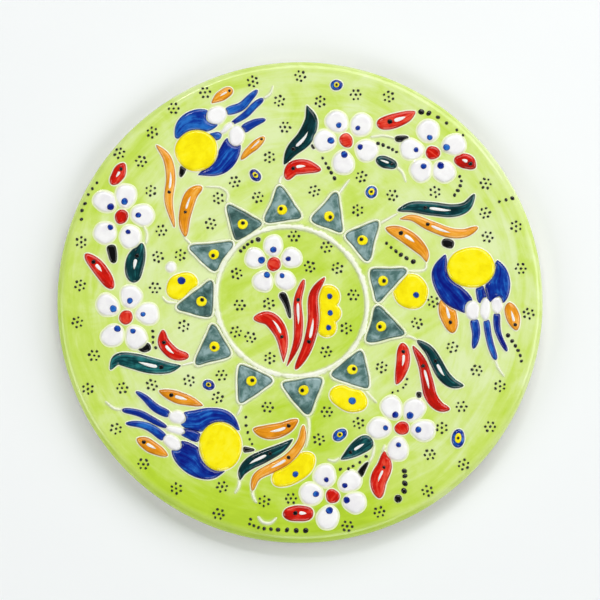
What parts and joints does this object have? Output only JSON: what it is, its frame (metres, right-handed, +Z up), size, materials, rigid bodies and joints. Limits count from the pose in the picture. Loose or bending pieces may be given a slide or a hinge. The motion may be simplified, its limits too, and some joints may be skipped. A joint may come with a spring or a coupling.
{
  "type": "hand painted ceramic plate",
  "caption": "Round flat glazed ceramic plate on a cork pad, its top covered in raised enamel flowers, leaves, tulips and dots around a ringed middle.",
  "frame": {"origin": "plate's centre, on the surface that the cork pad rests on", "axes": "+Z up through the painted face, +Y towards the top of the pattern"},
  "size_m": [0.18, 0.18, 0.0104],
  "materials": {
    "bisque_clay": "unglazed earthenware, matte and slightly rough",
    "green_ground_glaze": "brushed translucent yellow-green glaze, glossy",
    "cork": "pressed cork granules, matte",
    "contact_adhesive": "thin dried contact adhesive",
    "cream_slip_line": "raised cream line, glossy",
    "white_enamel": "opaque raised white enamel, glossy",
    "grey_enamel": "translucent blue-grey enamel, glossy",
    "yellow_enamel": "opaque raised yellow enamel, glossy",
    "black_enamel": "raised black enamel, glossy",
    "red_enamel": "raised red enamel, glossy",
    "orange_enamel": "raised orange enamel, glossy",
    "teal_enamel": "raised dark teal enamel, glossy",
    "cobalt_enamel": "raised cobalt blue enamel, glossy",
    "black_slip_dots": "small raised black slip dots, glossy"
  },
  "bodies": {
    "root": {"ceramic_body": "bisque_clay", "ground_glaze": "green_ground_glaze", "cork_pad": "cork", "cork_adhesive": "contact_adhesive", "medallion_ring": "cream_slip_line", "crown_petals": "grey_enamel", "crown_outlines": "cream_slip_line", "crown_yellow_drops": "yellow_enamel", "crown_black_dots": "black_enamel", "branch_lines": "cream_slip_line", "red_leaves": "red_enamel", "orange_leaves": "orange_enamel", "green_leaves": "teal_enamel", "centre_red_leaves": "red_enamel", "leaf_white_streaks": "white_enamel", "leaf_black_dots": "black_enamel", "yellow_buds": "yellow_enamel", "centre_yellow_wing": "yellow_enamel", "white_bud_cap": "white_enamel", "bud_blue_dots": "cobalt_enamel", "black_calyxes": "black_enamel", "bead_blue_rings": "cobalt_enamel", "bead_yellow_drops": "yellow_enamel", "bead_black_dots": "black_enamel", "dot_clusters": "black_slip_dots", "dot_rows": "black_slip_dots", "big_row_dots": "black_slip_dots", "blossom_1_petals": "white_enamel", "blossom_1_stamens": "cobalt_enamel", "blossom_1_centre": "red_enamel", "blossom_2_petals": "white_enamel", "blossom_2_stamens": "cobalt_enamel", "blossom_2_centre": "red_enamel", "blossom_3_petals": "white_enamel", "blossom_3_stamens": "cobalt_enamel", "blossom_3_centre": "red_enamel", "blossom_4_petals": "white_enamel", "blossom_4_stamens": "cobalt_enamel", "blossom_4_centre": "red_enamel", "blossom_5_petals": "white_enamel", "blossom_5_stamens": "cobalt_enamel", "blossom_5_centre": "red_enamel", "blossom_6_petals": "white_enamel", "blossom_6_stamens": "cobalt_enamel", "blossom_6_centre": "red_enamel", "blossom_7_petals": "white_enamel", "blossom_7_stamens": "cobalt_enamel", "blossom_7_centre": "red_enamel", "tulip_1_cup": "yellow_enamel", "tulip_1_petals": "cobalt_enamel", "tulip_1_knuckles": "white_enamel", "tulip_1_fingers": "cobalt_enamel", "tulip_2_cup": "yellow_enamel", "tulip_2_petals": "cobalt_enamel", "tulip_2_knuckles": "white_enamel", "tulip_2_fingers": "cobalt_enamel", "tulip_3_cup": "yellow_enamel", "tulip_3_petals": "cobalt_enamel", "tulip_3_knuckles": "white_enamel", "tulip_3_fingers": "cobalt_enamel"}
  },
  "joints": []
}
